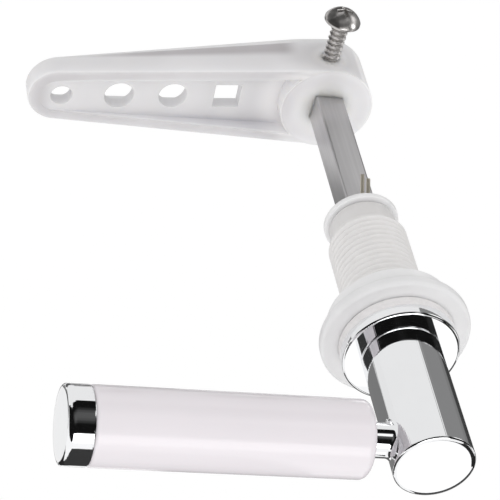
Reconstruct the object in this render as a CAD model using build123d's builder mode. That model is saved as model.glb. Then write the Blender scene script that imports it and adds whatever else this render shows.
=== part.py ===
"""Cistern lever: chrome hub with a sleeved handle, wall bush with back nut, square spindle and flush arm.

Millimetres. The origin is on the spindle axis at the outer face of the cistern wall.
+Y runs into the cistern, +Z is up, and the handle and the flush arm point along -X.
"""
import math
import os

from build123d import *

os.makedirs("parts", exist_ok=True)

# Wall fixing
thread_d = 20.955
thread_len = 35.8
thread_lead = 2.5
thread_pitch = 1.814
thread_depth = 0.5
thread_start = 1.0
thread_land = 0.2
spigot_d = 17.6
spigot_len = 5.2
bush_rim_chamfer = 0.5
flange_d = 29.6
flange_t = 3.1
flange_edge_r = 0.5
cover_wall = 0.9
cover_fit = 0.05
cover_hole_gap = 0.4
seal_d = 29.4
seal_t = 2.7
seal_gap = 0.15

# Back nut
nut_flange_d = 38.2
nut_flange_t = 3.4
nut_body_d = 32.0
nut_draft = 0.4
nut_len = 9.0
nut_edge_r = 1.1
nut_body_edge_r = 0.6
nut_thread_gap = 0.06
nut_wall_gap = 0.3

# Lever hub and handle
hub_d = 20.0
hub_len = 36.75
hub_edge_r = 0.45
hub_run_gap = 0.15
handle_setback = 7.8
neck_d = 8.5
neck_len = 5.3
neck_fillet = 1.3
sleeve_d = 19.0
sleeve_len = 66.6
sleeve_inner_r = 2.0
sleeve_outer_r = 0.8
sleeve_bore_gap = 0.2
cap_d = 18.9
cap_len = 6.3
cap_edge_r = 0.8
cap_joint_r = 0.4
stud_d = 5.0
stud_clear = 1.0
stud_cap_grip = 4.0

# Square spindle and its keeper
spindle_w = 8.0
spindle_corner_r = 0.6
spindle_grip = 24.0
spindle_end_inset = 1.5
spindle_end_chamfer = 0.4
spindle_run_fit = 0.06
washer_d = 19.8
washer_t = 1.6
washer_edge_r = 0.3
washer_run_gap = 0.2
washer_hole_fit = 0.05
pin_wire_d = 1.0
pin_leg_pitch = 1.65
pin_fit = 0.08
pin_seat_gap = 0.1
pin_long_leg = 8.2
pin_short_leg = 7.2
pin_leg_tilt = 51.0
pin_bend_r = 0.9
pin_eye_w = 4.4
pin_eye_h = 4.2

# Flush arm and its screw
arm_station = 93.3
boss_d = 26.0
boss_depth = 15.0
arm_reach = 75.5
arm_drop = 3.0
tip_d = 16.0
tip_depth = 7.4
arm_wall = 3.0
arm_edge_r = 0.8
web_t = 4.0
web_setback_root = 5.6
web_setback_tip = 0.4
socket_fit = 0.05
tip_hole_inset = 1.1
tip_hole_d = 6.0
outer_hole_pitch = 16.0
outer_hole_d = 8.3
inner_hole_pitch = 15.1
inner_hole_d = 8.0
square_hole_pitch = 15.5
square_hole_w = 7.5
screw_d = 4.8
screw_len = 16.0
screw_point_len = 1.2
screw_head_d = 10.0
screw_head_h = 3.7
screw_head_rim = 0.6
screw_grip = 4.0
screw_side = 0.8
screw_forward = 0.7
screw_fit = 0.03
recess_w = 4.4
recess_slot = 1.3
recess_depth = 1.7
recess_taper = 12.0

# Stations along the spindle axis
flange_back = -seal_t
flange_front = flange_back - flange_t
hub_back = flange_front - hub_run_gap
hub_front = hub_back - hub_len
handle_y = hub_front + handle_setback
bush_back = thread_len + thread_lead + spigot_len
thread_rings = int((thread_len - thread_start - thread_land) / thread_pitch)
washer_front = bush_back + washer_run_gap
washer_back = washer_front + washer_t
pin_y = washer_back + pin_seat_gap + pin_wire_d / 2
arm_back = arm_station + boss_depth
spindle_front = hub_back - spindle_grip
spindle_back = arm_back - spindle_end_inset

# Stations along the handle
sleeve_start = hub_d / 2 + neck_len
sleeve_end = sleeve_start + sleeve_len
stud_start = spindle_w / 2 + stud_clear
stud_end = sleeve_end + stud_cap_grip
handle_axis = Axis((0, handle_y, 0), (1, 0, 0))

# Stations along the flush arm, the hole row counted back from the tip
tip_hole_at = arm_reach - tip_hole_inset
outer_hole_at = tip_hole_at - outer_hole_pitch
inner_hole_at = outer_hole_at - inner_hole_pitch
square_hole_at = inner_hole_at - square_hole_pitch
screw_x = -screw_side
screw_y = arm_station + boss_depth / 2 - screw_forward

# Fits taken from the sizes above
spindle_diagonal = 2 * ((spindle_w / 2 - spindle_corner_r) * math.sqrt(2) + spindle_corner_r)
bush_bore_d = spindle_diagonal + 2 * spindle_run_fit
head_d = flange_d - 2 * cover_wall - 2 * cover_fit
pin_hole_d = pin_leg_pitch + pin_wire_d + 2 * pin_fit
across = Plane(origin=(0, 0, 0), x_dir=(1, 0, 0), z_dir=(0, 1, 0))


def spindle_plane(y):
    """Plane square to the spindle axis at station y, facing into the cistern."""
    return across.offset(y)


# Threaded bush with its head under the chrome cover, its thread cut as plain rings
thread_profile = []
for ring in range(thread_rings):
    crest_y = thread_start + ring * thread_pitch
    thread_profile.append((thread_d / 2, crest_y))
    thread_profile.append((thread_d / 2 - thread_depth, crest_y + thread_pitch / 2))
thread_profile.append((thread_d / 2, thread_start + thread_rings * thread_pitch))

with BuildPart() as threaded_bush:
    with BuildSketch(Plane.XY):
        with BuildLine():
            Polyline(
                (bush_bore_d / 2, flange_front + cover_wall),
                (head_d / 2, flange_front + cover_wall),
                (head_d / 2, flange_back),
                (thread_d / 2, flange_back),
                *thread_profile,
                (thread_d / 2, thread_len),
                (spigot_d / 2, thread_len + thread_lead),
                (spigot_d / 2, bush_back - bush_rim_chamfer),
                (spigot_d / 2 - bush_rim_chamfer, bush_back),
                (bush_bore_d / 2, bush_back),
                close=True,
            )
        make_face()
    revolve(axis=Axis.Y)
threaded_bush.part.label = "threaded_bush"
export_step(threaded_bush.part, "parts/threaded_bush.step")

# Chrome cover pressed over the bush head
with BuildPart() as cover_flange:
    with BuildSketch(Plane.XY):
        with BuildLine():
            Polyline(
                (bush_bore_d / 2 + cover_hole_gap, flange_front),
                (flange_d / 2, flange_front),
                (flange_d / 2, flange_back),
                (flange_d / 2 - cover_wall, flange_back),
                (flange_d / 2 - cover_wall, flange_front + cover_wall),
                (bush_bore_d / 2 + cover_hole_gap, flange_front + cover_wall),
                close=True,
            )
        make_face()
    revolve(axis=Axis.Y)
    fillet(faces().sort_by(Axis.Y)[0].edges().sort_by(SortBy.RADIUS)[-1], radius=flange_edge_r)
cover_flange.part.label = "cover_flange"
export_step(cover_flange.part, "parts/cover_flange.step")

# Sealing washer between the cover and the wall
with BuildPart() as seal_washer:
    with BuildSketch(spindle_plane(flange_back)):
        Circle(seal_d / 2)
        Circle(thread_d / 2 + seal_gap, mode=Mode.SUBTRACT)
    extrude(amount=seal_t)
seal_washer.part.label = "seal_washer"
export_step(seal_washer.part, "parts/seal_washer.step")

# Flanged back nut, run up against the wall from inside the cistern
nut_bore_r = thread_d / 2 + nut_thread_gap
nut_front = nut_wall_gap
nut_shoulder = nut_front + nut_flange_t
nut_shoulder_w = nut_flange_d / 2 - nut_body_d / 2 - nut_draft
with BuildPart() as back_nut:
    with BuildSketch(Plane.XY):
        with BuildLine():
            Polyline(
                (nut_bore_r, nut_front),
                (nut_flange_d / 2, nut_front),
                (nut_flange_d / 2, nut_shoulder),
                (nut_body_d / 2 + nut_draft, nut_shoulder),
                (nut_body_d / 2, nut_front + nut_len),
                (nut_bore_r, nut_front + nut_len),
                close=True,
            )
        make_face()
        flange_corners = vertices().sort_by(Axis.X)[-2:]
        fillet(flange_corners, radius=min(nut_edge_r, nut_shoulder_w * 0.6, nut_flange_t * 0.4))
        fillet(vertices().sort_by(Axis.Y)[-2:].sort_by(Axis.X)[-1:], radius=nut_body_edge_r)
    revolve(axis=Axis.Y)
back_nut.part.label = "back_nut"
export_step(back_nut.part, "parts/back_nut.step")

# Lever hub: barrel, side neck for the handle, square socket for the spindle
with BuildPart() as lever_hub:
    with BuildSketch(spindle_plane(hub_front)):
        Circle(hub_d / 2)
    extrude(amount=hub_len)
    fillet(faces().sort_by(Axis.Y)[0].edges(), radius=hub_edge_r)
    with BuildSketch(Plane(origin=(0, handle_y, 0), x_dir=(0, 1, 0), z_dir=(-1, 0, 0))):
        Circle(neck_d / 2)
    extrude(amount=sleeve_start)
    neck_root = edges().filter_by(GeomType.CIRCLE, reverse=True).filter_by(GeomType.LINE, reverse=True)
    fillet(neck_root, radius=neck_fillet)
    with BuildSketch(spindle_plane(hub_back)):
        RectangleRounded(spindle_w, spindle_w, spindle_corner_r)
    extrude(amount=-spindle_grip, mode=Mode.SUBTRACT)
    with BuildSketch(Plane(origin=(-sleeve_start, handle_y, 0), x_dir=(0, 1, 0), z_dir=(1, 0, 0))):
        Circle(stud_d / 2)
    extrude(amount=sleeve_start - stud_start, mode=Mode.SUBTRACT)
lever_hub.part.label = "lever_hub"
export_step(lever_hub.part, "parts/lever_hub.step")

# Stud that ties the sleeve and the end cap to the hub
with BuildPart() as handle_stud:
    with BuildSketch(Plane(origin=(-stud_start, handle_y, 0), x_dir=(0, 1, 0), z_dir=(-1, 0, 0))):
        Circle(stud_d / 2)
    extrude(amount=stud_end - stud_start)
handle_stud.part.label = "handle_stud"
export_step(handle_stud.part, "parts/handle_stud.step")

# White handle sleeve
with BuildPart() as handle_sleeve:
    with BuildSketch(Plane.XY):
        with Locations((-(sleeve_start + sleeve_end) / 2, handle_y + (sleeve_d + stud_d + 2 * sleeve_bore_gap) / 4)):
            Rectangle(sleeve_len, (sleeve_d - stud_d - 2 * sleeve_bore_gap) / 2)
        outer = vertices().sort_by(Axis.Y)[-2:].sort_by(Axis.X)
        fillet(outer[-1:], radius=sleeve_inner_r)
        fillet(vertices().sort_by(Axis.X)[:2].sort_by(Axis.Y)[-1:], radius=sleeve_outer_r)
    revolve(axis=handle_axis)
handle_sleeve.part.label = "handle_sleeve"
export_step(handle_sleeve.part, "parts/handle_sleeve.step")

# Chrome end cap screwed on the stud
with BuildPart() as end_cap:
    with BuildSketch(Plane(origin=(-sleeve_end, handle_y, 0), x_dir=(0, 1, 0), z_dir=(-1, 0, 0))):
        Circle(cap_d / 2)
    extrude(amount=cap_len)
    fillet(faces().sort_by(Axis.X)[0].edges(), radius=cap_edge_r)
    fillet(faces().sort_by(Axis.X)[-1].edges(), radius=cap_joint_r)
    with BuildSketch(Plane(origin=(-sleeve_end, handle_y, 0), x_dir=(0, 1, 0), z_dir=(-1, 0, 0))):
        Circle(stud_d / 2)
    extrude(amount=stud_cap_grip, mode=Mode.SUBTRACT)
end_cap.part.label = "end_cap"
export_step(end_cap.part, "parts/end_cap.step")

# Square spindle with the cross hole for the split pin
with BuildPart() as spindle:
    with BuildSketch(spindle_plane(spindle_front)):
        RectangleRounded(spindle_w, spindle_w, spindle_corner_r)
    extrude(amount=spindle_back - spindle_front)
    chamfer(faces().sort_by(Axis.Y)[-1].edges(), length=spindle_end_chamfer)
    with BuildSketch(Plane(origin=(0, pin_y, -spindle_w), x_dir=(1, 0, 0), z_dir=(0, 0, 1))):
        Circle(pin_hole_d / 2)
    extrude(amount=2 * spindle_w, mode=Mode.SUBTRACT)
spindle.part.label = "spindle"
export_step(spindle.part, "parts/spindle.step")

# Retaining washer keyed on the spindle behind the bush
with BuildPart() as retaining_washer:
    with BuildSketch(spindle_plane(washer_front)):
        Circle(washer_d / 2)
    extrude(amount=washer_t)
    fillet(edges().filter_by(GeomType.CIRCLE), radius=washer_edge_r)
    with BuildSketch(spindle_plane(washer_front)):
        RectangleRounded(spindle_w + 2 * washer_hole_fit, spindle_w + 2 * washer_hole_fit, spindle_corner_r)
    extrude(amount=washer_t, mode=Mode.SUBTRACT)
retaining_washer.part.label = "retaining_washer"
export_step(retaining_washer.part, "parts/retaining_washer.step")

# Split pin: one wire, eye below the spindle, both legs bent back above it
leg_x = pin_leg_pitch / 2
leg_bend_z = spindle_w / 2 + pin_wire_d
eye_top_z = -spindle_w / 2 - pin_wire_d
tilt = math.radians(pin_leg_tilt)


def leg_tip(x, length):
    """End point of a bent leg."""
    return (x, pin_y + length * math.sin(tilt), leg_bend_z + length * math.cos(tilt))


with BuildPart() as split_pin:
    with BuildLine() as pin_wire:
        FilletPolyline(
            leg_tip(-leg_x, pin_long_leg),
            (-leg_x, pin_y, leg_bend_z),
            (-leg_x, pin_y, eye_top_z),
            (-pin_eye_w / 2, pin_y, eye_top_z - pin_eye_h * 0.42),
            (-pin_eye_w * 0.3, pin_y, eye_top_z - pin_eye_h),
            (pin_eye_w * 0.3, pin_y, eye_top_z - pin_eye_h),
            (pin_eye_w / 2, pin_y, eye_top_z - pin_eye_h * 0.42),
            (leg_x, pin_y, eye_top_z),
            (leg_x, pin_y, leg_bend_z),
            leg_tip(leg_x, pin_short_leg),
            radius=pin_bend_r,
        )
    with BuildSketch(Plane(origin=pin_wire.line @ 0, z_dir=pin_wire.line % 0)):
        Circle(pin_wire_d / 2)
    sweep(path=pin_wire.line)
split_pin.part.label = "split_pin"
export_step(split_pin.part, "parts/split_pin.step")

# Flush arm: boss, tapered outline, front and rear pockets either side of a leaning web
drop = math.radians(arm_drop)
arm_plane = Plane(
    origin=(0, arm_station, 0),
    x_dir=(-math.cos(drop), 0, -math.sin(drop)),
    z_dir=(0, 1, 0),
)
web_lean = (web_setback_root - web_setback_tip) / arm_reach
back_lean = (boss_depth - tip_depth) / (arm_reach - boss_d / 2)


def leaning_plane(setback, at, lean):
    """Plane across the arm that lies `setback` behind its front at distance `at`, and leans forward to the tip."""
    base = arm_plane.from_local_coords((at, 0, setback))
    direction = arm_plane.x_dir - arm_plane.z_dir * lean
    normal = arm_plane.z_dir + arm_plane.x_dir * lean
    return Plane(origin=base, x_dir=direction, z_dir=normal)


web_front = leaning_plane(web_setback_root, 0, web_lean)
web_back = leaning_plane(web_setback_root + web_t, 0, web_lean)
arm_rear = leaning_plane(boss_depth, boss_d / 2, back_lean)


def arm_outline():
    """Outline from the boss to the round tip, in the current sketch."""
    Circle(boss_d / 2)
    with Locations((arm_reach, 0)):
        Circle(tip_d / 2)
    make_hull()


with BuildPart() as front_pocket:
    with BuildSketch(arm_plane):
        arm_outline()
        offset(amount=-arm_wall)
        Circle(boss_d / 2, mode=Mode.SUBTRACT)
    extrude(amount=boss_depth)
    split(bisect_by=web_front, keep=Keep.BOTTOM)

with BuildPart() as rear_pocket:
    with BuildSketch(arm_plane):
        arm_outline()
        offset(amount=-arm_wall)
        Circle(boss_d / 2, mode=Mode.SUBTRACT)
    extrude(amount=boss_depth)
    split(bisect_by=web_back, keep=Keep.TOP)

with BuildPart() as flush_arm:
    with BuildSketch(arm_plane):
        arm_outline()
    extrude(amount=boss_depth)
    split(bisect_by=arm_rear, keep=Keep.BOTTOM)
    fillet(faces().sort_by(Axis.Y)[0].edges(), radius=arm_edge_r)
    back_face = faces().filter_by(lambda f: f.normal_at().dot(arm_rear.z_dir) > 0.999)
    fillet(back_face.edges().filter_by(lambda e: e.center().Y < arm_back - arm_edge_r), radius=arm_edge_r)
    with BuildSketch(arm_plane):
        Circle(boss_d / 2)
    extrude(amount=boss_depth)
    add(front_pocket.part, mode=Mode.SUBTRACT)
    add(rear_pocket.part, mode=Mode.SUBTRACT)
    with BuildSketch(arm_plane):
        with Locations((tip_hole_at, 0)):
            Circle(tip_hole_d / 2)
        with Locations((outer_hole_at, 0)):
            Circle(outer_hole_d / 2)
        with Locations((inner_hole_at, 0)):
            Circle(inner_hole_d / 2)
        with Locations((square_hole_at, 0)):
            Rectangle(square_hole_w, square_hole_w)
    extrude(amount=boss_depth, mode=Mode.SUBTRACT)
    with BuildSketch(spindle_plane(arm_station)):
        RectangleRounded(spindle_w + 2 * socket_fit, spindle_w + 2 * socket_fit, spindle_corner_r)
    extrude(amount=boss_depth, mode=Mode.SUBTRACT)
    with BuildSketch(Plane(origin=(screw_x, screw_y, 0))):
        Circle(screw_d / 2 + screw_fit)
    extrude(amount=boss_d, mode=Mode.SUBTRACT)
flush_arm.part.label = "flush_arm"
export_step(flush_arm.part, "parts/flush_arm.step")

# Pan-head screw started in the top of the boss
screw_tip_z = boss_d / 2 - screw_grip
screw_seat_z = screw_tip_z + screw_len
screw_axis = Axis((screw_x, screw_y, 0), (0, 0, 1))
screw_plane = Plane(origin=(screw_x, screw_y, 0), x_dir=(1, 0, 0), z_dir=(0, -1, 0))
dome_rise = screw_head_h - screw_head_rim
dome_r = ((screw_head_d / 2) ** 2 + dome_rise**2) / (2 * dome_rise)
dome_z = screw_seat_z + screw_head_h - dome_r
dome_half = math.asin(screw_head_d / 2 / dome_r) / 2
recess_plane = Plane(
    origin=(screw_x, screw_y, screw_seat_z + screw_head_h + screw_head_rim),
    x_dir=(1, 0, 0),
    z_dir=(0, 0, -1),
)
with BuildPart() as arm_screw:
    with BuildSketch(screw_plane):
        with BuildLine():
            Polyline(
                (0, screw_seat_z + screw_head_h),
                (0, screw_tip_z),
                (screw_d / 2 - screw_point_len / 2, screw_tip_z),
                (screw_d / 2, screw_tip_z + screw_point_len),
                (screw_d / 2, screw_seat_z),
                (screw_head_d / 2, screw_seat_z),
                (screw_head_d / 2, screw_seat_z + screw_head_rim),
            )
            ThreePointArc(
                (screw_head_d / 2, screw_seat_z + screw_head_rim),
                (dome_r * math.sin(dome_half), dome_z + dome_r * math.cos(dome_half)),
                (0, screw_seat_z + screw_head_h),
            )
        make_face()
    revolve(axis=screw_axis)
    with BuildSketch(recess_plane):
        Rectangle(recess_w, recess_slot)
    extrude(amount=recess_depth + screw_head_rim, taper=recess_taper, mode=Mode.SUBTRACT)
    with BuildSketch(recess_plane):
        Rectangle(recess_slot, recess_w)
    extrude(amount=recess_depth + screw_head_rim, taper=recess_taper, mode=Mode.SUBTRACT)
arm_screw.part.label = "arm_screw"
export_step(arm_screw.part, "parts/arm_screw.step")
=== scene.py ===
import math

import bpy
import numpy as np
from bpy.props import FloatProperty, FloatVectorProperty, PointerProperty
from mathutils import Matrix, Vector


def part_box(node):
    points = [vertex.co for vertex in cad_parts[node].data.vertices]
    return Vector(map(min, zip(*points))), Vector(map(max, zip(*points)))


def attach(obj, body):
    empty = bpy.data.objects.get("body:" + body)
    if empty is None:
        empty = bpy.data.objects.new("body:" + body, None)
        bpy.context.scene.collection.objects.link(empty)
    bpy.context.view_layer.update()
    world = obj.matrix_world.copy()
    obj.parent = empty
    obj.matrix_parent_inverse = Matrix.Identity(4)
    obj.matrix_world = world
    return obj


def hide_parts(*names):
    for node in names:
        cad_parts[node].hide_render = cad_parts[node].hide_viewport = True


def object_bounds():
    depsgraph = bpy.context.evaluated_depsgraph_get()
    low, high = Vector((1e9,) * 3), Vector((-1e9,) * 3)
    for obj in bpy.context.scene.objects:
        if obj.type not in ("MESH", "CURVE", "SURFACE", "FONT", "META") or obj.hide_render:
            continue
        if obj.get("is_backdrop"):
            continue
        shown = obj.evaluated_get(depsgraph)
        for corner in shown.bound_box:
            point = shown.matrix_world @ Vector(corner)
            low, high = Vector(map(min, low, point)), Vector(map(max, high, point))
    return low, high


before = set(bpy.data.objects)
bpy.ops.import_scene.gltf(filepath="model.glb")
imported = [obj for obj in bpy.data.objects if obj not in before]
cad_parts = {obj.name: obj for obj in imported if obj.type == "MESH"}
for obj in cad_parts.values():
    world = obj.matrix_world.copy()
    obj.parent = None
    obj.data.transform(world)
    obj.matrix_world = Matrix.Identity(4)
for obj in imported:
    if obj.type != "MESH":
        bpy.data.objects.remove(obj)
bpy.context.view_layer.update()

bl_info = {
    "name": "Cistern lever",
    "version": (1, 0, 0),
    "blender": (4, 5, 0),
    "location": "View3D > Sidebar > Lever",
    "description": "Dresses a cistern lever: chrome hub, glazed sleeve, threaded bush, spindle and flush arm",
    "category": "Object",
}

MM = 0.001
FULL_TURN = 2 * math.pi


class LeverSizes(bpy.types.PropertyGroup):
    """Sizes of the bush and the screw, which the scene makes again with helical threads."""

    bush_pitch: FloatProperty(
        name="Bush pitch",
        description="Distance between two crests of the bush thread",
        default=1.814 * MM,
        unit="LENGTH",
        precision=5,
    )
    bush_thread_depth: FloatProperty(
        name="Bush thread depth",
        description="Height of the bush thread from root to crest",
        default=0.38 * MM,
        unit="LENGTH",
        precision=5,
    )
    bush_thread_end: FloatProperty(
        name="Bush thread end",
        description="Station where the bush thread runs out towards the plain spigot",
        default=35.8 * MM,
        unit="LENGTH",
        precision=5,
    )
    bush_lead: FloatProperty(
        name="Bush lead",
        description="Length of the cone between the thread and the spigot",
        default=2.5 * MM,
        unit="LENGTH",
        precision=5,
    )
    bush_thread_radius: FloatProperty(
        name="Bush thread radius",
        description="Radius over the crests of the bush thread",
        default=10.4775 * MM,
        unit="LENGTH",
        precision=5,
    )
    spigot_radius: FloatProperty(
        name="Spigot radius",
        description="Radius of the plain end of the bush",
        default=8.8 * MM,
        unit="LENGTH",
        precision=5,
    )
    bush_bore_radius: FloatProperty(
        name="Bush bore radius",
        description="Radius of the bore that the spindle turns in",
        default=5.468 * MM,
        unit="LENGTH",
        precision=5,
    )
    bush_head_back: FloatProperty(
        name="Bush head back",
        description="Station of the rear face of the bush head, under the chrome cover",
        default=-2.7 * MM,
        unit="LENGTH",
        precision=5,
    )
    screw_pitch: FloatProperty(
        name="Screw pitch",
        description="Distance between two crests of the screw thread",
        default=1.6 * MM,
        unit="LENGTH",
        precision=5,
    )
    screw_thread_depth: FloatProperty(
        name="Screw thread depth",
        description="Height of the screw thread from root to crest",
        default=0.62 * MM,
        unit="LENGTH",
        precision=5,
    )
    screw_radius: FloatProperty(
        name="Screw radius",
        description="Radius over the crests of the screw thread",
        default=2.4 * MM,
        unit="LENGTH",
        precision=5,
    )
    screw_stand: FloatProperty(
        name="Screw stand",
        description="Height of the head's seat above the boss, with the screw not yet driven home",
        default=12.0 * MM,
        unit="LENGTH",
        precision=5,
    )
    screw_head_height: FloatProperty(
        name="Screw head height",
        description="Height of the pan head above its seat",
        default=3.7 * MM,
        unit="LENGTH",
        precision=5,
    )
    screw_head_rim: FloatProperty(
        name="Screw head rim",
        description="Height of the straight rim below the dome of the head",
        default=0.6 * MM,
        unit="LENGTH",
        precision=5,
    )
    recess_reach: FloatProperty(
        name="Recess reach",
        description="Half length of an arm of the cross recess",
        default=2.2 * MM,
        unit="LENGTH",
        precision=5,
    )
    recess_half_slot: FloatProperty(
        name="Recess half slot",
        description="Half width of an arm of the cross recess",
        default=0.62 * MM,
        unit="LENGTH",
        precision=5,
    )
    recess_depth: FloatProperty(
        name="Recess depth",
        description="Depth of the cross recess below the top of the dome",
        default=1.7 * MM,
        unit="LENGTH",
        precision=5,
    )


class LeverColours(bpy.types.PropertyGroup):
    """Colours of the finishes."""

    chrome: FloatVectorProperty(
        name="Chrome",
        description="Tint of the polished plate",
        default=(0.92, 0.925, 0.935, 1.0),
        size=4,
        subtype="COLOR",
    )
    glaze: FloatVectorProperty(
        name="Glaze",
        description="White of the handle sleeve",
        default=(0.852, 0.809, 0.84, 1.0),
        size=4,
        subtype="COLOR",
    )
    rubber: FloatVectorProperty(
        name="Rubber",
        description="Grey of the sealing washer",
        default=(0.86, 0.842, 0.84, 1.0),
        size=4,
        subtype="COLOR",
    )
    moulding: FloatVectorProperty(
        name="Bush",
        description="White plastic of the threaded bush",
        default=(0.808, 0.792, 0.785, 1.0),
        size=4,
        subtype="COLOR",
    )
    nut: FloatVectorProperty(
        name="Nut and washer",
        description="White plastic of the back nut and the retaining washer",
        default=(0.815, 0.812, 0.817, 1.0),
        size=4,
        subtype="COLOR",
    )
    arm: FloatVectorProperty(
        name="Arm",
        description="Milky tint of the flush arm",
        default=(0.71, 0.698, 0.704, 1.0),
        size=4,
        subtype="COLOR",
    )
    bar: FloatVectorProperty(
        name="Bar",
        description="Grey of the square spindle",
        default=(0.575, 0.565, 0.57, 1.0),
        size=4,
        subtype="COLOR",
    )
    wire: FloatVectorProperty(
        name="Wire",
        description="Pale brass of the split pin",
        default=(0.74, 0.69, 0.57, 1.0),
        size=4,
        subtype="COLOR",
    )
    screw: FloatVectorProperty(
        name="Screw",
        description="Steel of the arm screw",
        default=(0.62, 0.6, 0.585, 1.0),
        size=4,
        subtype="COLOR",
    )
    floor: FloatVectorProperty(
        name="Floor",
        description="Pale floor under the object",
        default=(0.96, 0.96, 0.96, 1.0),
        size=4,
        subtype="COLOR",
    )


class LeverStage(bpy.types.PropertyGroup):
    """Camera and floor."""

    camera_place: FloatVectorProperty(
        name="Camera place",
        description="Where the camera stands",
        default=(-189.186 * MM, -388.140 * MM, 355.636 * MM),
        size=3,
        subtype="TRANSLATION",
        unit="LENGTH",
        precision=6,
    )
    camera_turn: FloatVectorProperty(
        name="Camera turn",
        description="How the camera is turned",
        default=(math.radians(50.19527), math.radians(-13.43150), math.radians(-9.53977)),
        size=3,
        subtype="EULER",
        unit="ROTATION",
        precision=6,
    )
    camera_lens: FloatProperty(
        name="Camera lens",
        description="Focal length in millimetres on a 36 mm sensor",
        default=162.214,
        unit="CAMERA",
    )
    floor_drop: FloatProperty(
        name="Floor drop",
        description="Distance of the floor below the lowest point of the object",
        default=150 * MM,
        unit="LENGTH",
    )


# Shapes

# Steps round a turned piece
TURN_STEPS = 144
# Crest and flank of a thread as shares of half its pitch, and the stations along one pitch
BUSH_CREST = 0.12
BUSH_FLANK = 0.76
BUSH_STATIONS = 12
SCREW_CREST = 0.06
SCREW_FLANK = 0.4
SCREW_STATIONS = 14
# Part of a pitch before the cone in which the bush thread starts to fade, and the chamfer of the spigot
BUSH_FADE = 0.4
BUSH_CHAMFER = 0.5 * MM
# Height of the screw's point, how much narrower its end is, and where the thread runs out below the head
POINT_HEIGHT = 1.2 * MM
POINT_CUT = 0.6 * MM
RUNOUT_START = 0.6 * MM
RUNOUT_END = 0.1 * MM
# Step along the seat and rim of the head, rings of its dome, and the last ring's share of the radius
HEAD_STEP = 0.3 * MM
DOME_RINGS = 72
DOME_LAST = 0.01
# Share of the recess depth that is lost towards the ends of its arms, and where its walls start and end
RECESS_RISE = 0.45
RECESS_LIP = -0.02 * MM
RECESS_WALL = 0.3 * MM
# Angles in degrees above which an edge of a made piece stays sharp
BUSH_CREASE = 50
SCREW_CREASE = 40


def grid_quads(rows, columns, close_rows):
    """Four-cornered faces of a grid, closed round along its columns and, where asked, along its rows."""
    row = np.arange(rows if close_rows else rows - 1)
    column = np.arange(columns)
    r, c = np.meshgrid(row, column, indexing="ij")
    r_next = (r + 1) % rows
    c_next = (c + 1) % columns
    corners = [r * columns + c, r_next * columns + c, r_next * columns + c_next, r * columns + c_next]
    return np.stack(corners, axis=-1).reshape(-1, 4)


def pole_fan(ring_start, columns, pole, inward):
    """Triangles from one ring of the grid to a single point."""
    c = np.arange(columns)
    a = ring_start + c
    b = ring_start + (c + 1) % columns
    tip = np.full(columns, pole)
    return np.stack([tip, b, a] if inward else [tip, a, b], axis=-1)


def new_piece(name, points, faces, crease):
    """A mesh object at the origin, smooth apart from the edges sharper than the crease angle."""
    mesh = bpy.data.meshes.new(name)
    mesh.from_pydata(points, [], faces)
    mesh.polygons.foreach_set("use_smooth", np.ones(len(mesh.polygons), dtype=bool))
    mesh.set_sharp_from_angle(angle=math.radians(crease))
    mesh.update()
    piece = bpy.data.objects.new(name, mesh)
    bpy.context.scene.collection.objects.link(piece)
    return piece


def outline(corners, step):
    """Points along a run of straight lines, no more than a step apart, with every corner kept."""
    corners = np.asarray(corners, dtype=float)
    runs = []
    for start, end in zip(corners[:-1], corners[1:]):
        count = max(1, int(math.ceil(np.linalg.norm(end - start) / step)))
        share = np.linspace(0, 1, count, endpoint=False)[:, None]
        runs.append(start + share * (end - start))
    return np.concatenate(runs + [corners[-1:]])


def thread_wave(turns, crest, flank):
    """Depth of a rounded thread as a share, from 0 on the crest to 1 in the root, once per whole turn.

    The crest and the flank are shares of half the pitch, and what is left of it is the flat root.
    """
    fold = np.abs(2 * (turns - np.floor(turns)) - 1)
    slope = np.clip((fold - crest) / flank, 0, 1)
    return 0.5 * slope + 0.5 * (0.5 - 0.5 * np.cos(np.pi * slope))


def ramp(value, start, end):
    """Smooth step from 0 at start to 1 at end."""
    share = np.clip((value - start) / (end - start), 0, 1)
    return share * share * (3 - 2 * share)


def bush_surface(sizes):
    """Points and faces of the bush: its outline turned about the axis, less the helix of its thread."""
    low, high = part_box("threaded_bush")
    bore = sizes.bush_bore_radius
    head = high.x
    crest = sizes.bush_thread_radius
    end = sizes.bush_thread_end
    cone_end = end + sizes.bush_lead
    step = sizes.bush_pitch / BUSH_STATIONS
    plain = [(bore, low.y), (head, low.y), (head, sizes.bush_head_back), (crest, sizes.bush_head_back)]
    body = outline([(crest, 0), (crest, end), (sizes.spigot_radius, cone_end)], step)
    tail = [
        (sizes.spigot_radius, high.y - BUSH_CHAMFER),
        (sizes.spigot_radius - BUSH_CHAMFER, high.y),
        (bore, high.y),
    ]
    profile = np.concatenate([plain, body, tail])
    radius, station = profile[:, 0], profile[:, 1]
    angle = np.linspace(0, FULL_TURN, TURN_STEPS, endpoint=False)
    depth = sizes.bush_thread_depth * ramp(station, 0, sizes.bush_pitch)
    depth = depth * (1 - ramp(station, end - BUSH_FADE * sizes.bush_pitch, cone_end))
    depth = np.where((station > 0) & (station < cone_end), depth, 0)
    turns = station[:, None] / sizes.bush_pitch - angle[None, :] / FULL_TURN
    r = radius[:, None] - depth[:, None] * thread_wave(turns, BUSH_CREST, BUSH_FLANK)
    y = np.broadcast_to(station[:, None], r.shape)
    points = np.stack([r * np.sin(angle), y, r * np.cos(angle)], axis=-1).reshape(-1, 3)
    return points, grid_quads(len(profile), TURN_STEPS, True)


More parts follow.
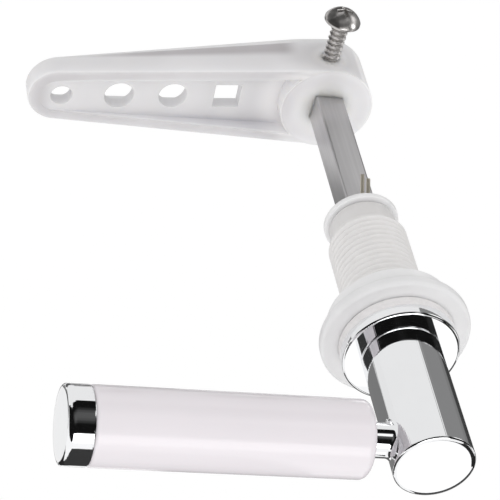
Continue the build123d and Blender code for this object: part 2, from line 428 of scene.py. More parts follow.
def cross_recess(x, y, sizes):
    """Depth of a cross recess below the dome: steep walls round two crossed arms, deeper at the middle."""
    slot, reach = sizes.recess_half_slot, sizes.recess_reach
    along_x = np.maximum(np.abs(x) - reach, np.abs(y) - slot)
    along_y = np.maximum(np.abs(y) - reach, np.abs(x) - slot)
    inside = -np.minimum(along_x, along_y)
    floor = sizes.recess_depth * (1 - RECESS_RISE * ramp(np.hypot(x, y), 0, reach))
    return floor * ramp(inside, RECESS_LIP, RECESS_WALL)


def screw_surface(sizes):
    """Points and faces of the screw: a shank with a helical thread and a domed head with its recess."""
    low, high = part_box("arm_screw")
    middle = (low + high) / 2
    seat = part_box("flush_arm")[1].z + sizes.screw_stand
    head_radius = (high.x - low.x) / 2
    crest, depth = sizes.screw_radius, sizes.screw_thread_depth
    step = sizes.screw_pitch / SCREW_STATIONS
    point_end = low.z + POINT_HEIGHT
    shank = outline([(crest - POINT_CUT, low.z), (crest, point_end), (crest, seat)], step)
    top = seat + sizes.screw_head_height
    rim_top = seat + sizes.screw_head_rim
    rise = top - rim_top
    dome = (head_radius**2 + rise**2) / (2 * rise)
    rim = outline([(crest, seat), (head_radius, seat), (head_radius, rim_top)], HEAD_STEP)[1:]
    dome_radius = head_radius * np.linspace(1, DOME_LAST, DOME_RINGS)[1:]
    dome_height = top - dome + np.sqrt(dome**2 - dome_radius**2)
    profile = np.concatenate([shank, rim, np.stack([dome_radius, dome_height], axis=-1)])
    radius, height = profile[:, 0], profile[:, 1]
    angle = np.linspace(0, FULL_TURN, TURN_STEPS, endpoint=False)
    on_shank = np.arange(len(profile)) < len(shank)
    fade = ramp(height, low.z, point_end) * (1 - ramp(height, seat - RUNOUT_START, seat - RUNOUT_END))
    cut = np.where(on_shank, depth * fade, 0)
    turns = height[:, None] / sizes.screw_pitch - angle[None, :] / FULL_TURN
    r = radius[:, None] - cut[:, None] * thread_wave(turns, SCREW_CREST, SCREW_FLANK)
    x, y = r * np.cos(angle), r * np.sin(angle)
    on_dome = (np.arange(len(profile)) >= len(shank) + len(rim))[:, None]
    z = height[:, None] - np.where(on_dome, cross_recess(x, y, sizes), 0)
    rings = np.stack([x + middle.x, y + middle.y, z], axis=-1).reshape(-1, 3)
    tip = [middle.x, middle.y, low.z]
    crown = [middle.x, middle.y, top - sizes.recess_depth]
    points = np.concatenate([rings, [tip, crown]])
    quads = grid_quads(len(profile), TURN_STEPS, False)[:, ::-1]
    last_ring = (len(profile) - 1) * TURN_STEPS
    tip_fan = pole_fan(0, TURN_STEPS, len(rings), True)
    crown_fan = pole_fan(last_ring, TURN_STEPS, len(rings) + 1, False)
    return points, quads.tolist() + tip_fan.tolist() + crown_fan.tolist()


# Finishes

# Range that most of a noise pattern falls in, and how rough the pattern is
PATTERN_LOW = 0.3
PATTERN_HIGH = 0.7
PATTERN_ROUGHNESS = 0.55
# Slope that the bump reaches at a chrome rim
EDGE_TILT = 0.6
# Softened bands of the chrome rims: signed width along the side and width on the end face
HUB_FRONT_BANDS = (-0.4 * MM, 1.3 * MM)
HUB_BACK_BANDS = (0.4 * MM, 0.1 * MM)
COVER_BANDS = (-0.5 * MM, 0.8 * MM)
CAP_BANDS = (-2.0 * MM, 2.0 * MM)
# Painted shade on the nut's outer rim and painted light on its root round the seal, as factors of its colour
NUT_RIM_SHADE = 0.945
NUT_ROOT_LIGHT = 1.08
# Straight lines along the flush arm that place its painted shade: value at the spindle axis and rise with x
ARM_BACK_EDGE = (108.3 * MM, 0.1007)
ARM_SHADE_WEDGE_WIDTH = (6.6 * MM, 0.075)
ARM_POCKET_ROOF = (0.0, 0.1186)
ARM_POCKET_FLOOR = (-10 * MM, -0.0139)


def new_finish(name):
    """A new material with its nodes, its links and its main shader."""
    material = bpy.data.materials.new(name)
    material.use_nodes = True
    nodes = material.node_tree.nodes
    shader = nodes["Principled BSDF"]
    return material, nodes, material.node_tree.links, shader


def maths(nodes, links, operation, first, second=0.0):
    """One step of node arithmetic on sockets or plain numbers."""
    step = nodes.new("ShaderNodeMath")
    step.operation = operation
    for socket, value in zip(step.inputs, (first, second)):
        if isinstance(value, (int, float)):
            socket.default_value = value
        else:
            links.new(value, socket)
    return step.outputs["Value"]


def edge(nodes, links, value, start, end):
    """Smooth step of a socket from 0 at start to 1 at end."""
    reach = nodes.new("ShaderNodeMapRange")
    reach.interpolation_type = "SMOOTHSTEP"
    reach.inputs["From Min"].default_value = start
    reach.inputs["From Max"].default_value = end
    links.new(value, reach.inputs["Value"])
    return reach.outputs["Result"]


def piece_place(nodes, links):
    """The three Object coordinates as sockets."""
    place = nodes.new("ShaderNodeSeparateXYZ")
    links.new(nodes.new("ShaderNodeTexCoord").outputs["Object"], place.inputs["Vector"])
    return [place.outputs[axis] for axis in "XYZ"]


def product(nodes, links, *shares):
    """All shares multiplied together."""
    result = shares[0]
    for share in shares[1:]:
        result = maths(nodes, links, "MULTIPLY", result, share)
    return result


def distance(nodes, links, first, second):
    """Length of the vector with the two given parts."""
    squares = [maths(nodes, links, "MULTIPLY", part, part) for part in (first, second)]
    return maths(nodes, links, "SQRT", maths(nodes, links, "ADD", *squares))


def line(nodes, links, x, start, slope):
    """Value at x of a straight line, which starts from its value at x = 0."""
    value = maths(nodes, links, "MULTIPLY_ADD", x, slope)
    value.node.inputs[2].default_value = start
    return value


def off_axis(nodes, links):
    """Distance from the spindle axis."""
    x, _, z = piece_place(nodes, links)
    return distance(nodes, links, x, z)


def pattern(nodes, links, stretch, scale, detail=3.0):
    """Noise on Object coordinates, stretched along each axis."""
    place = nodes.new("ShaderNodeTexCoord")
    mapping = nodes.new("ShaderNodeMapping")
    mapping.inputs["Scale"].default_value = stretch
    links.new(place.outputs["Object"], mapping.inputs["Vector"])
    noise = nodes.new("ShaderNodeTexNoise")
    noise.inputs["Scale"].default_value = scale
    noise.inputs["Detail"].default_value = detail
    noise.inputs["Roughness"].default_value = PATTERN_ROUGHNESS
    links.new(mapping.outputs["Vector"], noise.inputs["Vector"])
    return noise.outputs["Fac"]


def spread(nodes, links, source, low, high):
    """The pattern's middle range carried to the range from low to high."""
    reach = nodes.new("ShaderNodeMapRange")
    reach.interpolation_type = "SMOOTHSTEP"
    reach.inputs["From Min"].default_value = PATTERN_LOW
    reach.inputs["From Max"].default_value = PATTERN_HIGH
    reach.inputs["To Min"].default_value = low
    reach.inputs["To Max"].default_value = high
    links.new(source, reach.inputs["Value"])
    return reach.outputs["Result"]


def tint(nodes, links, source, colour, darker):
    """Colour that varies with the pattern between the given one and a slightly darker one."""
    ramp_node = nodes.new("ShaderNodeValToRGB")
    base = np.array(colour[:3])
    ramp_node.color_ramp.interpolation = "EASE"
    ramp_node.color_ramp.elements[0].position = PATTERN_LOW
    ramp_node.color_ramp.elements[1].position = PATTERN_HIGH
    ramp_node.color_ramp.elements[0].color = (*(base * darker), 1.0)
    ramp_node.color_ramp.elements[1].color = (*base, 1.0)
    links.new(source, ramp_node.inputs["Fac"])
    return ramp_node.outputs["Color"]


def blend(nodes, links, share, colour, factor):
    """Colour multiplied by a factor where the share is 1, and left alone where it is 0."""
    mix = nodes.new("ShaderNodeMix")
    mix.data_type = "RGBA"
    mix.blend_type = "MULTIPLY"
    links.new(share, mix.inputs["Factor"])
    links.new(colour, mix.inputs["A"])
    mix.inputs["B"].default_value = factor
    return mix.outputs["Result"]


def relief(nodes, links, source, depth, strength):
    """Bump from the pattern."""
    bump = nodes.new("ShaderNodeBump")
    bump.inputs["Distance"].default_value = depth
    bump.inputs["Strength"].default_value = strength
    links.new(source, bump.inputs["Height"])
    return bump.outputs["Normal"]


def slope_band(nodes, links, value, end, width):
    """Height that falls as the square of the way into a band, to the edge tilt at the band's end."""
    reach = nodes.new("ShaderNodeMapRange")
    reach.inputs["From Min"].default_value = end - width
    reach.inputs["From Max"].default_value = end
    links.new(value, reach.inputs["Value"])
    square = maths(nodes, links, "MULTIPLY", reach.outputs["Result"], reach.outputs["Result"])
    return maths(nodes, links, "MULTIPLY", square, -0.5 * EDGE_TILT * abs(width))


def rounded_edges(nodes, links, axis, centre, radius, ends):
    """Softens the rims of a turned piece by bump, along its side and out across its end faces.

    The axis is the letter of the turning axis and the centre its place on the two other axes. Each end gives
    its station, the signed width of the band along the side and the width of the band on the face.
    """
    place = dict(zip("XYZ", piece_place(nodes, links)))
    letters = "XYZ".replace(axis, "")
    across = [maths(nodes, links, "SUBTRACT", place[a], middle) for a, middle in zip(letters, centre)]
    away = distance(nodes, links, *across)
    height = 0.0
    for station, side_width, face_width in ends:
        on_face = slope_band(nodes, links, away, radius, face_width)
        on_side = slope_band(nodes, links, place[axis], station, side_width)
        height = maths(nodes, links, "ADD", on_face, height)
        height = maths(nodes, links, "ADD", on_side, height)
    return relief(nodes, links, height, depth=1.0, strength=1.0)


def chrome_finish(colours, name, axis, centre, radius, ends):
    """Polished plate: a mirror with faint hazy patches, thicker and so rounder along the rims."""
    material, nodes, links, shader = new_finish(name)
    shader.inputs["Metallic"].default_value = 1.0
    haze = pattern(nodes, links, stretch=(1, 1, 1), scale=90)
    links.new(tint(nodes, links, haze, colours.chrome, darker=0.985), shader.inputs["Base Color"])
    links.new(spread(nodes, links, haze, low=0.02, high=0.05), shader.inputs["Roughness"])
    links.new(rounded_edges(nodes, links, axis, centre, radius, ends), shader.inputs["Normal"])
    return material


def glaze_finish(colours):
    """Glossy white sleeve with a soft bloom under the gloss."""
    material, nodes, links, shader = new_finish("white_sleeve_gloss")
    bloom = pattern(nodes, links, stretch=(0.5, 1, 1), scale=70)
    links.new(tint(nodes, links, bloom, colours.glaze, darker=0.985), shader.inputs["Base Color"])
    links.new(spread(nodes, links, bloom, low=0.16, high=0.22), shader.inputs["Roughness"])
    shader.inputs["IOR"].default_value = 1.5
    shader.inputs["Subsurface Weight"].default_value = 0.15
    shader.inputs["Subsurface Radius"].default_value = (2.0 * MM, 1.8 * MM, 1.8 * MM)
    shader.inputs["Subsurface Scale"].default_value = 1.0
    return material


def rubber_finish(colours):
    """Matt grey sealing rubber with a fine grain."""
    material, nodes, links, shader = new_finish("grey_seal_rubber")
    grain = pattern(nodes, links, stretch=(1, 1, 1), scale=900, detail=4.0)
    links.new(tint(nodes, links, grain, colours.rubber, darker=0.93), shader.inputs["Base Color"])
    links.new(spread(nodes, links, grain, low=0.55, high=0.7), shader.inputs["Roughness"])
    links.new(relief(nodes, links, grain, depth=0.03 * MM, strength=0.4), shader.inputs["Normal"])
    return material


def painted_nut_rim_shade(nodes, links):
    """Share of the nut's outer rim, greyed by painted shade."""
    return edge(nodes, links, off_axis(nodes, links), 15.2 * MM, 19.4 * MM)


def painted_nut_root_light(nodes, links):
    """Share of the nut round the seal, whitened by painted light."""
    return edge(nodes, links, off_axis(nodes, links), 19.0 * MM, 14.4 * MM)


def moulded_finish(name, base, *patches):
    """White moulded plastic: faint flow marks, a satin skin and light that bleeds a little.

    Each patch paints shade or light: it is the function that gives its share and the factor of the colour
    there.
    """
    material, nodes, links, shader = new_finish(name)
    flow = pattern(nodes, links, stretch=(1, 0.4, 1), scale=160)
    skin = pattern(nodes, links, stretch=(1, 1, 1), scale=1400, detail=2.0)
    colour = tint(nodes, links, flow, base, darker=0.97)
    for share, factor in patches:
        colour = blend(nodes, links, share(nodes, links), colour, (factor, factor, factor, 1.0))
    links.new(colour, shader.inputs["Base Color"])
    links.new(spread(nodes, links, flow, low=0.38, high=0.5), shader.inputs["Roughness"])
    links.new(relief(nodes, links, skin, depth=0.02 * MM, strength=0.3), shader.inputs["Normal"])
    shader.inputs["Subsurface Weight"].default_value = 0.8
    shader.inputs["Subsurface Radius"].default_value = (3.0 * MM, 3.0 * MM, 3.0 * MM)
    shader.inputs["Subsurface Scale"].default_value = 1.0
    return material


def painted_wall_shade(nodes, links):
    """Share of the arm's top wall that backs on the rear pocket, greyed by painted shade.

    Seen from above it is a wedge along the leaning back edge, which is a straight line in x. The wedge widens
    towards the boss. The wall itself is what lies above the line of the pocket's roof.
    """
    x, y, z = piece_place(nodes, links)
    inside_back = maths(nodes, links, "SUBTRACT", line(nodes, links, x, *ARM_BACK_EDGE), y)
    way_in = maths(nodes, links, "DIVIDE", inside_back, line(nodes, links, x, *ARM_SHADE_WEDGE_WIDTH))
    above_roof = maths(nodes, links, "SUBTRACT", z, line(nodes, links, x, *ARM_POCKET_ROOF))
    in_wedge = edge(nodes, links, way_in, 1.25, 0.6)
    off_corner = edge(nodes, links, inside_back, 0.4 * MM, 0.9 * MM)
    from_tip = edge(nodes, links, x, -82 * MM, -50 * MM)
    before_boss = edge(nodes, links, x, -8.5 * MM, -14 * MM)
    in_wall = edge(nodes, links, above_roof, 9.2 * MM, 10.2 * MM)
    return product(nodes, links, in_wedge, off_corner, from_tip, before_boss, in_wall)


def painted_boss_light(nodes, links):
    """Share of the solid boss round the spindle axis, whitened by painted light."""
    return edge(nodes, links, off_axis(nodes, links), 13.0 * MM, 12.0 * MM)


def painted_core_light(nodes, links):
    """Share of the boss next to the spindle, whitened further by painted light."""
    return edge(nodes, links, off_axis(nodes, links), 11.5 * MM, 5.5 * MM)


def boss_glow(nodes, links):
    """Share of the front pocket beside the boss, which the light that comes through the boss fills."""
    x, _, z = piece_place(nodes, links)
    away = distance(nodes, links, x, z)
    height = maths(nodes, links, "ABSOLUTE", z)
    off_boss = edge(nodes, links, away, 12.4 * MM, 13.0 * MM)
    near_boss = edge(nodes, links, away, 21 * MM, 13.5 * MM)
    in_pocket = edge(nodes, links, height, 11 * MM, 9.8 * MM)
    return product(nodes, links, off_boss, near_boss, in_pocket)


def screw_seat(nodes, links):
    """Share of the boss top round the foot of the screw, where light comes up through the plastic."""
    x, y, z = piece_place(nodes, links)
    low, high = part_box("arm_screw")
    across = [
        maths(nodes, links, "SUBTRACT", part, middle)
        for part, middle in ((x, (low.x + high.x) / 2), (y, (low.y + high.y) / 2))
    ]
    near = edge(nodes, links, distance(nodes, links, *across), 6 * MM, 2.6 * MM)
    on_top = edge(nodes, links, z, 11 * MM, 12 * MM)
    return product(nodes, links, near, on_top)


def pocket_floor(nodes, links):
    """Share of the front pocket's floor, darker towards the boss, where least light reaches it."""
    x, y, z = piece_place(nodes, links)
    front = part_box("flush_arm")[0].y
    above_floor = maths(nodes, links, "SUBTRACT", z, line(nodes, links, x, *ARM_POCKET_FLOOR))
    near_floor = edge(nodes, links, above_floor, 1.4 * MM, 0.4 * MM)
    over_wall = edge(nodes, links, above_floor, -1.0 * MM, -0.5 * MM)
    behind_rim = edge(nodes, links, y, front + 0.4 * MM, front + 1.2 * MM)
    towards_boss = edge(nodes, links, x, -62 * MM, -22 * MM)
    before_boss = edge(nodes, links, x, -10 * MM, -13 * MM)
    return product(nodes, links, near_floor, over_wall, behind_rim, towards_boss, before_boss)


def painted_rim_shade(nodes, links):
    """Share of the arm's narrow front rim, outside the boss, greyed by painted shade."""
    x, y, _ = piece_place(nodes, links)
    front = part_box("flush_arm")[0].y
    at_front = edge(nodes, links, y, front + 0.35 * MM, front + 0.05 * MM)
    before_boss = edge(nodes, links, x, -8 * MM, -14 * MM)
    return product(nodes, links, at_front, before_boss)


def milky_finish(colours):
    """Milky plastic of the flush arm: flow marks, painted shade and painted light by place, and light that
    scatters inside.
    """
    material, nodes, links, shader = new_finish("milky_arm_plastic")
    flow = pattern(nodes, links, stretch=(1, 1, 0.3), scale=75, detail=1.0)
    colour = tint(nodes, links, flow, colours.arm, darker=0.95)
    # Painted shade on the top wall, the front rim and the pocket floor; painted light on the boss, next to
    # the spindle, round the screw seat and beside the boss.
    for share, factor in (
        (painted_wall_shade(nodes, links), (0.66, 0.64, 0.64, 1.0)),
        (painted_rim_shade(nodes, links), (0.8, 0.79, 0.79, 1.0)),
        (painted_boss_light(nodes, links), (1.11, 1.11, 1.12, 1.0)),
        (painted_core_light(nodes, links), (1.23, 1.24, 1.24, 1.0)),
        (screw_seat(nodes, links), (1.34, 1.34, 1.34, 1.0)),
        (pocket_floor(nodes, links), (0.91, 0.91, 0.92, 1.0)),
        (boss_glow(nodes, links), (1.26, 1.26, 1.26, 1.0)),
    ):
        colour = blend(nodes, links, share, colour, factor)
    links.new(colour, shader.inputs["Base Color"])
    links.new(spread(nodes, links, flow, low=0.42, high=0.52), shader.inputs["Roughness"])
    shader.inputs["Subsurface Weight"].default_value = 1.0
    shader.inputs["Subsurface Radius"].default_value = (5.0 * MM, 5.2 * MM, 5.6 * MM)
    shader.inputs["Subsurface Scale"].default_value = 1.7
    shader.inputs["IOR"].default_value = 1.45
    return material


def bar_finish(colours):
    """Drawn steel bar: fine lines along the bar."""
    material, nodes, links, shader = new_finish("drawn_steel_bar")
    shader.inputs["Metallic"].default_value = 1.0
    lines = pattern(nodes, links, stretch=(1, 0.012, 1), scale=1800, detail=4.0)
    patches = pattern(nodes, links, stretch=(1, 0.3, 1), scale=120)
    links.new(tint(nodes, links, lines, colours.bar, darker=0.93), shader.inputs["Base Color"])
    links.new(spread(nodes, links, patches, low=0.3, high=0.4), shader.inputs["Roughness"])
    links.new(relief(nodes, links, lines, depth=0.02 * MM, strength=0.18), shader.inputs["Normal"])
    return material


def wire_finish(colours):
    """Dulled pale brass wire with drawing marks."""
    material, nodes, links, shader = new_finish("pale_brass_wire")
    shader.inputs["Metallic"].default_value = 0.7
    marks = pattern(nodes, links, stretch=(1, 0.15, 0.15), scale=2500)
    links.new(tint(nodes, links, marks, colours.wire, darker=0.88), shader.inputs["Base Color"])
    links.new(spread(nodes, links, marks, low=0.29, high=0.38), shader.inputs["Roughness"])
    return material


def screw_finish(colours):
    """Bright rolled screw steel."""
    material, nodes, links, shader = new_finish("bright_screw_steel")
    shader.inputs["Metallic"].default_value = 1.0
    marks = pattern(nodes, links, stretch=(1, 1, 0.4), scale=500, detail=1.0)
    links.new(tint(nodes, links, marks, colours.screw, darker=0.95), shader.inputs["Base Color"])
    links.new(spread(nodes, links, marks, low=0.28, high=0.34), shader.inputs["Roughness"])
    return material


def dress(node_name, material):
    """Puts a finish in every material slot of a solid that stays as it is."""
    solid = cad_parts[node_name]
    if not solid.material_slots:
        solid.data.materials.append(material)
    for slot in solid.material_slots:
        slot.material = material


# Stage

# Studio panels far away: bearing from straight behind the object towards its right and height above the
# horizon, half width and half height, all in degrees, softness of the edge, and brightness
PANELS = (
    ("back", -16, 22, 46, 44, 0.02, 0.86),
    ("right_back", 56, 2, 26, 44, 0.03, 0.24),
    ("front", 174, 2, 20, 21, 0.03, 3.0),
    ("front_high", 160, 70, 25, 14, 0.2, 0.09),
    ("overhead", 112, 66, 7, 6, 0.03, 1.1),
    ("right_high", 78, 36, 14, 12, 0.08, 1.6),
)
# Least share along its centre at which a panel counts, so that it has no twin on the other side
PANEL_AHEAD = 0.02
# Brightness of the room between the panels
STUDIO_DARK = 0.006
# Soft light for everything but reflections: its mean level, its rise towards the front and the way to where
# it is strongest
DOME = 0.85
DOME_RISE = 0.32
DOME_FRONT = (-0.15, -0.92, 0.2)
# Half width of the floor in metres, its grey under the glow, and how far the camera sees in metres
FLOOR_HALF = 3.0
FLOOR_PAINT = (0.26, 0.26, 0.26)
CAMERA_REACH = 50
# Cards round the object that only reflections see: centre, half width and half height in mm, brightness
CARDS = (
    ("under_card", (45, -14, -100), (85, 0, 0), (0, 34, 0), 0.12),
    ("back_card", (0, 79, -100), (130, 0, 0), (0, 59, 0), 0.2),
    ("back_left_card", (-172, 137, -100), (42, 0, 0), (0, 78, 0), 0.2),
    ("left_card", (-1557, 1460, -100), (1343, 0, 0), (0, 1440, 0), 0.84),
    ("right_far_card", (1515, 1460, -100), (1385, 0, 0), (0, 1440, 0), 0.2),
    ("cap_card", (-106, 2, -35), (18, 0, 0), (0, 22, 0), 0.9),
    ("handle_card", (-62, -86, -34), (42, 0, 0), (0, 50, 0), 0.04),
    ("right_card", (85, -70, -34), (40, 0, 0), (0, 40, 0), 0.02),
    ("horizon_card", (-60, 250, -55), (150, 0, 0), (0, 0, 45), 0.1),
    ("rim_card", (75, -71, -100), (50, 0, 0), (0, 24, 0), 0.06),
    ("bar_card", (-56, 166, -99), (54, 0, 0), (0, 24, 0), 0.12),
    ("front_card", (53, -140, -99), (42, 0, 0), (0, 42, 0), 1.14),
    ("right_edge_card", (232, 210, -99), (168, 0, 0), (0, 150, 0), 0.05),
    ("right_front_card", (2205, -2143, -98), (2097, -2039, 0), (56, 57, 0), 0.02),
    ("cap_edge_card", (-114, -7, -8), (7, 7, 0), (0, 0, 9), 0.02),
    ("cap_foot_card", (-108, -32, -32), (17, 0, 0), (0, 11, 0), 0.02),
    ("screw_card", (0, 125, 42), (14, 0, 0), (0, 0, 16), 0.08),
    ("screw_left_card", (-36, 132, 62), (10, 20, 0), (0, 0, 32), 0.08),
    ("screw_front_card", (-4, 85, 49), (11, 0, 0), (0, 6, 0), 0.3),
    ("screw_light_card", (48, 76, 48), (-4, 11, 0), (0, 0, 9), 6.0),
)


def floor_finish(colours):
    """Pale floor that glows, so that it stays near white under the object."""
    material, nodes, links, shader = new_finish("pale_floor_paint")
    mottle = pattern(nodes, links, stretch=(1, 1, 1), scale=3)
    links.new(tint(nodes, links, mottle, FLOOR_PAINT, darker=0.99), shader.inputs["Base Color"])
    shader.inputs["Roughness"].default_value = 0.9
    shader.inputs["Emission Color"].default_value = colours.floor
    shader.inputs["Emission Strength"].default_value = 0.8
    return material


def card_finish(name, glow):
    """Even glow of a card that only reflections see."""
    material = bpy.data.materials.new(name)
    material.use_nodes = True
    nodes = material.node_tree.nodes
    nodes.remove(nodes["Principled BSDF"])
    light = nodes.new("ShaderNodeEmission")
    light.inputs["Color"].default_value = (1, 1, 1, 1)
    light.inputs["Strength"].default_value = glow
    material.node_tree.links.new(light.outputs["Emission"], nodes["Material Output"].inputs["Surface"])
    return material


def flat_panel(name, centre, side, rise):
    """A flat four-cornered panel of the stage: its centre, half its width and half its height as vectors."""
    centre, side, rise = (np.asarray(v, dtype=float) for v in (centre, side, rise))
    corners = centre + np.array([[-1, -1], [1, -1], [1, 1], [-1, 1]]) @ np.stack([side, rise])
    mesh = bpy.data.meshes.new(name)
    mesh.from_pydata(corners, [], [(0, 1, 2, 3)])
    panel = bpy.data.objects.new(name, mesh)
    bpy.context.scene.collection.objects.link(panel)
    panel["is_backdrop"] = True
    return panel


def studio_world():
    """Sky of the studio: a dome of soft light, and for reflections a dark room with bright panels.

    A panel is a rectangle on the plane that touches the unit sphere at its centre. A direction falls inside
    it where its share along the panel's side and its rise, divided by its share along the centre, stay in
    reach. A later panel covers an earlier one.
    """
    world = bpy.data.worlds.new("studio")
    world.use_nodes = True
    nodes, links = world.node_tree.nodes, world.node_tree.links
    direction = nodes.new("ShaderNodeTexCoord").outputs["Generated"]

    def share(vector):
        dot = nodes.new("ShaderNodeVectorMath")
        dot.operation = "DOT_PRODUCT"
        dot.inputs[1].default_value = vector
        links.new(direction, dot.inputs[0])
        return dot.outputs["Value"]

    def work(operation, first, second):
        return maths(nodes, links, operation, first, second)

    def inside(along, ahead, reach, soft):
        tangent = math.tan(math.radians(reach))
        size = maths(nodes, links, "ABSOLUTE", work("DIVIDE", along, ahead))
        return edge(nodes, links, size, tangent + soft, tangent - soft)

    level = STUDIO_DARK
    for name, bearing, height, half_width, half_height, soft, glow in PANELS:
        a, h = math.radians(bearing), math.radians(height)
        ahead = share((math.sin(a) * math.cos(h), math.cos(a) * math.cos(h), math.sin(h)))
        side = share((math.cos(a), -math.sin(a), 0))
        rise = share((-math.sin(a) * math.sin(h), -math.cos(a) * math.sin(h), math.cos(h)))
        mask = work("MULTIPLY", inside(side, ahead, half_width, soft), inside(rise, ahead, half_height, soft))
        mask = work("MULTIPLY", mask, work("GREATER_THAN", ahead, PANEL_AHEAD))
        mask.node.label = name
        uncovered = work("MULTIPLY", level, work("SUBTRACT", 1, mask))
        level = work("ADD", uncovered, work("MULTIPLY", mask, glow))
    mirror = nodes.new("ShaderNodeLightPath").outputs["Is Glossy Ray"]
    dome = work("ADD", DOME, work("MULTIPLY", DOME_RISE, share(DOME_FRONT)))
    dome = work("MULTIPLY", dome, work("SUBTRACT", 1, mirror))
    links.new(work("ADD", dome, work("MULTIPLY", level, mirror)), nodes["Background"].inputs["Strength"])
    nodes["Background"].inputs["Color"].default_value = (1, 1, 1, 1)
    return world


# Operators


class LEVER_OT_chrome(bpy.types.Operator):
    """Plate the hub, the wall cover and the end cap."""

    bl_idname = "lever.chrome"
    bl_label = "Chrome pieces"

    def execute(self, context):
        colours = context.scene.lever_colours
        low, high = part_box("lever_hub")
        hub_ends = ((low.y, *HUB_FRONT_BANDS), (high.y, *HUB_BACK_BANDS))
        dress("lever_hub", chrome_finish(colours, "hub_chrome", "Y", (0, 0), high.z, hub_ends))
        low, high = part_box("cover_flange")
        cover_ends = ((low.y, *COVER_BANDS),)
        dress("cover_flange", chrome_finish(colours, "cover_chrome", "Y", (0, 0), high.z, cover_ends))
        low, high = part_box("end_cap")
        cap_ends = ((low.x, *CAP_BANDS),)
        cap_centre = ((low.y + high.y) / 2, 0)
        dress("end_cap", chrome_finish(colours, "cap_chrome", "X", cap_centre, high.z, cap_ends))
        return {"FINISHED"}


class LEVER_OT_sleeve(bpy.types.Operator):
    """Glaze the handle sleeve."""

    bl_idname = "lever.sleeve"
    bl_label = "Handle sleeve"

    def execute(self, context):
        dress("handle_sleeve", glaze_finish(context.scene.lever_colours))
        return {"FINISHED"}


class LEVER_OT_seal(bpy.types.Operator):
    """Finish the sealing washer in grey rubber."""

    bl_idname = "lever.seal"
    bl_label = "Sealing washer"

    def execute(self, context):
        dress("seal_washer", rubber_finish(context.scene.lever_colours))
        return {"FINISHED"}


class LEVER_OT_wall_fixing(bpy.types.Operator):
    """Make the threaded bush and finish the nut and the retaining washer like it."""

    bl_idname = "lever.wall_fixing"
    bl_label = "Bush, nut and washer"

    def execute(self, context):
        colours = context.scene.lever_colours
        points, faces = bush_surface(context.scene.lever_sizes)
        bush = new_piece("bush_thread", points, faces, BUSH_CREASE)
        bush.data.materials.append(moulded_finish("white_bush_plastic", colours.moulding))
        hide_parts("threaded_bush")
        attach(bush, "wall_set")
        # The nut's patches paint shade on its outer rim and light round the seal.
        nut_painted_light = ((painted_nut_rim_shade, NUT_RIM_SHADE), (painted_nut_root_light, NUT_ROOT_LIGHT))
        dress("back_nut", moulded_finish("white_nut_plastic", colours.nut, *nut_painted_light))
        dress("retaining_washer", moulded_finish("white_washer_plastic", colours.nut))
        return {"FINISHED"}


class LEVER_OT_spindle(bpy.types.Operator):
    """Finish the square spindle and the stud inside the handle in drawn steel."""

    bl_idname = "lever.spindle"
    bl_label = "Spindle and stud"

    def execute(self, context):
        finish = bar_finish(context.scene.lever_colours)
        dress("spindle", finish)
        dress("handle_stud", finish)
        return {"FINISHED"}


class LEVER_OT_pin(bpy.types.Operator):
    """Finish the split pin in brass wire."""

    bl_idname = "lever.pin"
    bl_label = "Split pin"

    def execute(self, context):
        dress("split_pin", wire_finish(context.scene.lever_colours))
        return {"FINISHED"}


class LEVER_OT_arm(bpy.types.Operator):
    """Finish the flush arm in milky plastic."""

    bl_idname = "lever.arm"
    bl_label = "Flush arm"

    def execute(self, context):
        dress("flush_arm", milky_finish(context.scene.lever_colours))
        return {"FINISHED"}


class LEVER_OT_screw(bpy.types.Operator):
    """Make the arm screw with its thread and cross recess."""

    bl_idname = "lever.screw"
    bl_label = "Arm screw"

    def execute(self, context):
        points, faces = screw_surface(context.scene.lever_sizes)
        screw = new_piece("screw_thread", points, faces, SCREW_CREASE)
        screw.data.materials.append(screw_finish(context.scene.lever_colours))
        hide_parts("arm_screw")
        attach(screw, "arm")
        return {"FINISHED"}


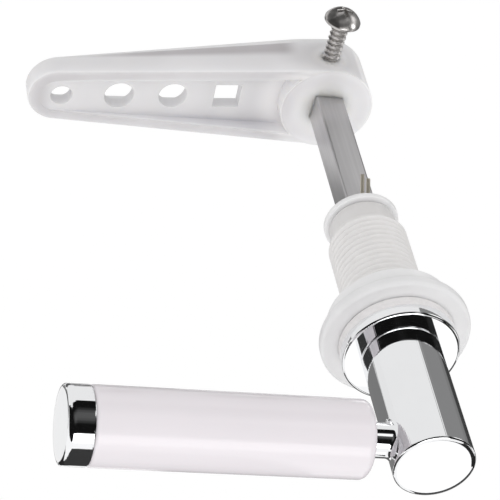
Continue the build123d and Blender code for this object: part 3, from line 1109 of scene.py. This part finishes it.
class LEVER_OT_stage(bpy.types.Operator):
    """Lay the pale floor, set the light with its cards and place the camera."""

    bl_idname = "lever.stage"
    bl_label = "Stage"

    def execute(self, context):
        stage = context.scene.lever_stage
        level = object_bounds()[0].z - stage.floor_drop
        floor = flat_panel("pale_floor", (0, 0, level), (FLOOR_HALF, 0, 0), (0, FLOOR_HALF, 0))
        floor.data.materials.append(floor_finish(context.scene.lever_colours))
        floor.visible_diffuse = False
        floor.visible_shadow = False
        for name, centre, side, rise, glow in CARDS:
            card = flat_panel(name, np.array(centre) * MM, np.array(side) * MM, np.array(rise) * MM)
            card.data.materials.append(card_finish(name, glow))
            for ray in ("camera", "diffuse", "transmission", "volume_scatter", "shadow"):
                setattr(card, "visible_" + ray, False)
        context.scene.world = studio_world()
        context.scene.view_settings.view_transform = "Standard"
        lens = bpy.data.cameras.new("camera")
        lens.lens = stage.camera_lens
        lens.clip_end = CAMERA_REACH
        camera = bpy.data.objects.new("camera", lens)
        camera.location = stage.camera_place
        camera.rotation_euler = stage.camera_turn
        context.scene.collection.objects.link(camera)
        context.scene.camera = camera
        return {"FINISHED"}


STEPS = (
    LEVER_OT_chrome,
    LEVER_OT_sleeve,
    LEVER_OT_seal,
    LEVER_OT_wall_fixing,
    LEVER_OT_spindle,
    LEVER_OT_pin,
    LEVER_OT_arm,
    LEVER_OT_screw,
    LEVER_OT_stage,
)


class LEVER_PT_steps(bpy.types.Panel):
    """Lists the steps that dress the lever."""

    bl_idname = "LEVER_PT_steps"
    bl_label = "Cistern lever"
    bl_space_type = "VIEW_3D"
    bl_region_type = "UI"
    bl_category = "Lever"

    def draw(self, context):
        for step in STEPS:
            self.layout.operator(step.bl_idname)
        for group in (context.scene.lever_sizes, context.scene.lever_colours, context.scene.lever_stage):
            box = self.layout.box()
            for name in group.__annotations__:
                box.prop(group, name)


CLASSES = (LeverSizes, LeverColours, LeverStage, *STEPS, LEVER_PT_steps)


def register():
    for cls in CLASSES:
        bpy.utils.register_class(cls)
    bpy.types.Scene.lever_sizes = PointerProperty(type=LeverSizes)
    bpy.types.Scene.lever_colours = PointerProperty(type=LeverColours)
    bpy.types.Scene.lever_stage = PointerProperty(type=LeverStage)


def unregister():
    del bpy.types.Scene.lever_stage
    del bpy.types.Scene.lever_colours
    del bpy.types.Scene.lever_sizes
    for cls in reversed(CLASSES):
        bpy.utils.unregister_class(cls)


def main():
    register()
    bpy.ops.lever.chrome()
    bpy.ops.lever.sleeve()
    bpy.ops.lever.seal()
    bpy.ops.lever.wall_fixing()
    bpy.ops.lever.spindle()
    bpy.ops.lever.pin()
    bpy.ops.lever.arm()
    bpy.ops.lever.screw()
    bpy.ops.lever.stage()


if __name__ == "__main__":
    main()
